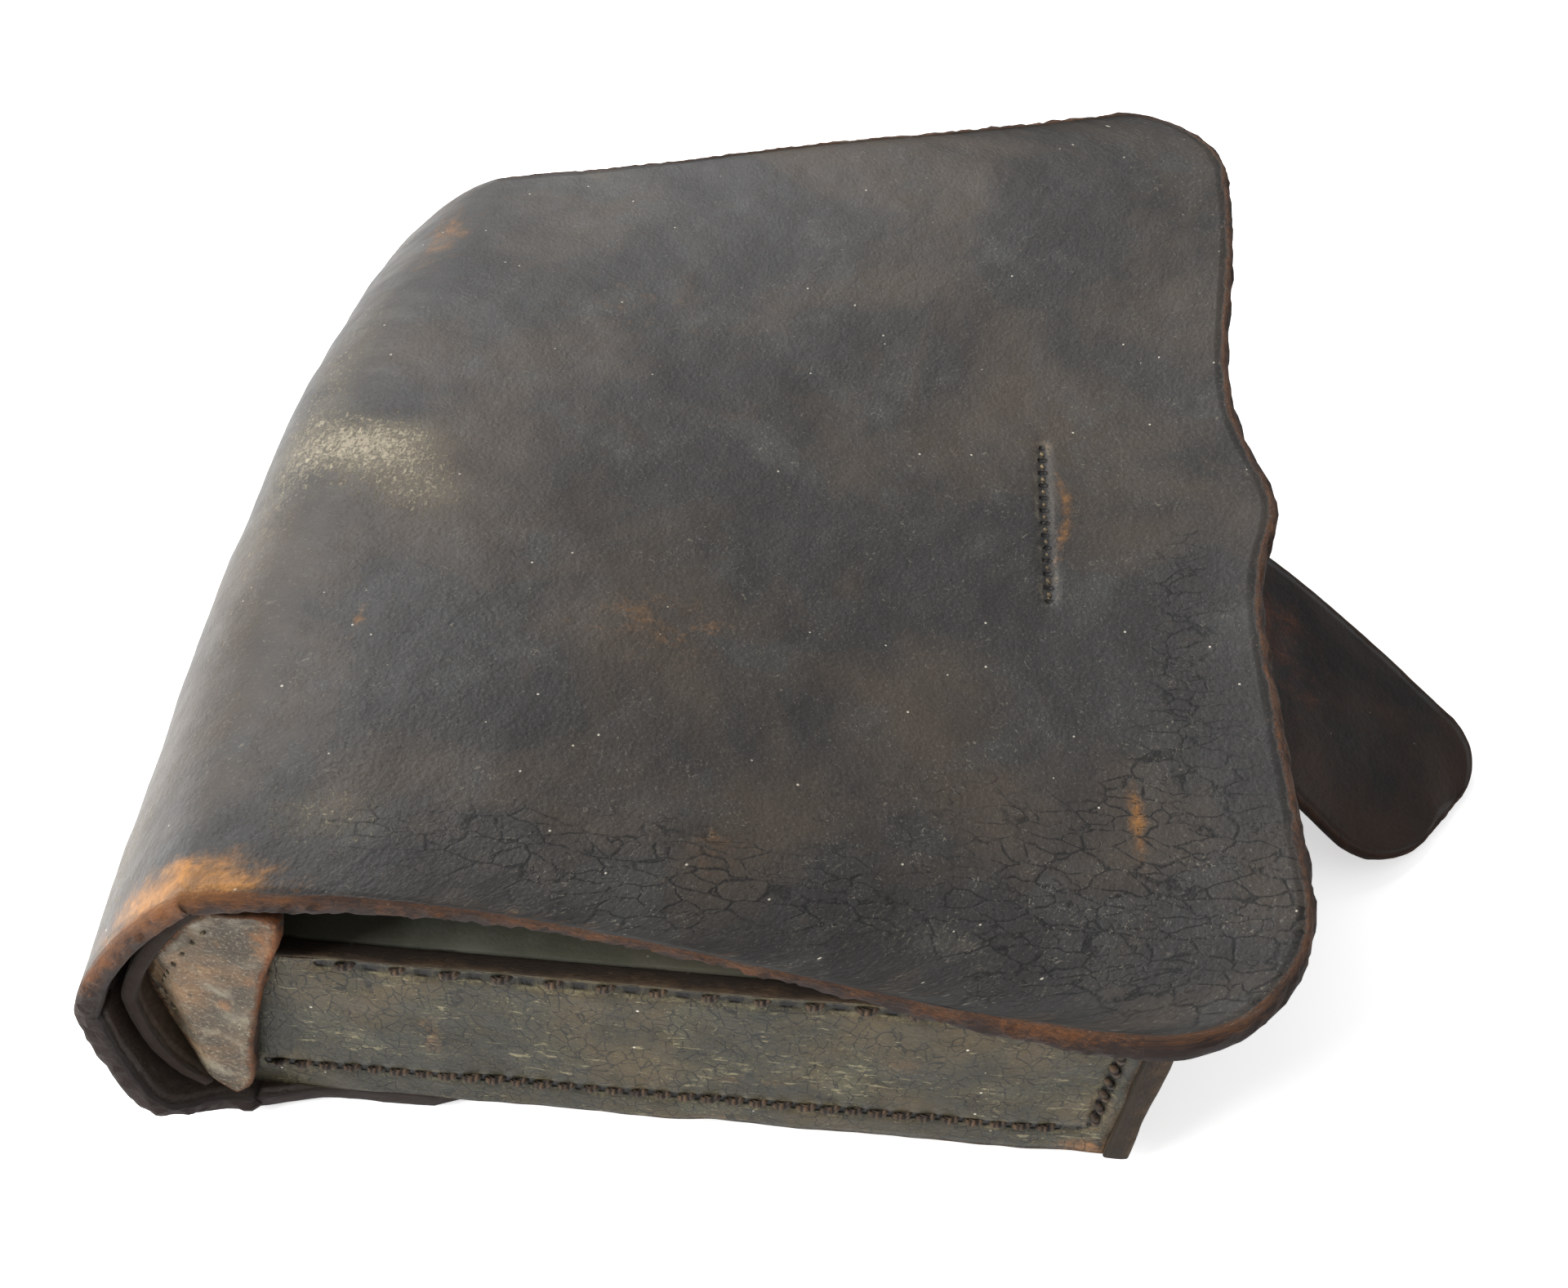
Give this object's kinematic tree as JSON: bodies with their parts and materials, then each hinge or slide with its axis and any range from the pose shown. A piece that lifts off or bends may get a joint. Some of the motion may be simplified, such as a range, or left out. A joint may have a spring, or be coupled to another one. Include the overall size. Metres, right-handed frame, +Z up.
{
  "type": "leather flap case",
  "caption": "Heavy leather case lying on its back: a stitched box with a cover folded round its mouth, an inner flap with ears, a tuck-in latch tab and belt loops.",
  "frame": {"origin": "middle of the footprint, on the plane the case rests on", "axes": "+X from the folded mouth towards the bottom end and the latch tab, +Y across the case to its far end wall, +Z up from the back through the front"},
  "size_m": [0.2286, 0.202, 0.0773],
  "materials": {
    "cover_leather": "worn black-brown, grain side out, dry and crackled, edges worn to raw orange",
    "box_leather": "worn grey-green black with dusty streaks",
    "inner_leather": "thin, grey, matt",
    "tab_leather": "smooth brown-black with a burnished edge",
    "loop_leather": "worn black-brown strap",
    "thread": "waxed linen thread, dusty"
  },
  "bodies": {
    "box": {"front_panel": "box_leather", "back_panel": "box_leather", "bottom_panel": "box_leather", "near_end_wall": "box_leather", "far_end_wall": "box_leather", "cover_back": "cover_leather", "inner_flap_margin": "inner_leather", "keeper_loop": "loop_leather", "near_belt_loop": "loop_leather", "far_belt_loop": "loop_leather", "near_wall_thread": "thread", "far_wall_thread": "thread", "bottom_thread": "thread", "cover_thread": "thread", "keeper_thread": "thread", "near_loop_thread": "thread", "far_loop_thread": "thread"},
    "fold_base_leather": {"fold_lower": "cover_leather"},
    "fold_top_leather": {"fold_upper": "cover_leather"},
    "flap": {"outer_flap": "cover_leather", "latch_tab_root": "tab_leather", "latch_thread": "thread"},
    "latch": {"latch_tab": "tab_leather"},
    "inner": {"inner_flap": "inner_leather", "near_ear": "inner_leather", "far_ear": "inner_leather", "near_ear_thread": "thread", "far_ear_thread": "thread"}
  },
  "joints": [
    {"name": "cover_base_bend", "type": "hinge", "parent": "box", "child": "fold_base_leather", "pos_m": [-0.09976, 0, 0.00268], "axis": [0, -1, 0.0009], "range_deg": [0, 45]},
    {"name": "cover_mid_bend", "type": "hinge", "parent": "fold_base_leather", "child": "fold_top_leather", "pos_m": [-0.11427, 0, 0.02933], "axis": [0, -0.9997, 0.0235], "range_deg": [0, 60]},
    {"name": "cover_top_bend", "type": "hinge", "parent": "fold_top_leather", "child": "flap", "pos_m": [-0.10241, 0, 0.05343], "axis": [0, -0.999, 0.0439], "range_deg": [0, 60]},
    {"name": "inner_flap_bend", "type": "hinge", "parent": "box", "child": "inner", "pos_m": [-0.10157, 0, 0.00853], "axis": [0, -1, 0], "range_deg": [0, 50]},
    {"name": "latch_bend", "type": "hinge", "parent": "flap", "child": "latch", "pos_m": [0.05043, -0.00474, 0.03943], "axis": [-0.2217, -0.9739, -0.0493], "range_deg": [0, 60]}
  ],
  "couplings": [
    {"joint": "cover_mid_bend", "follows": "cover_base_bend", "ratio": 1.3333},
    {"joint": "cover_top_bend", "follows": "cover_base_bend", "ratio": 1.3333},
    {"joint": "inner_flap_bend", "follows": "cover_base_bend", "ratio": 1.1111}
  ]
}
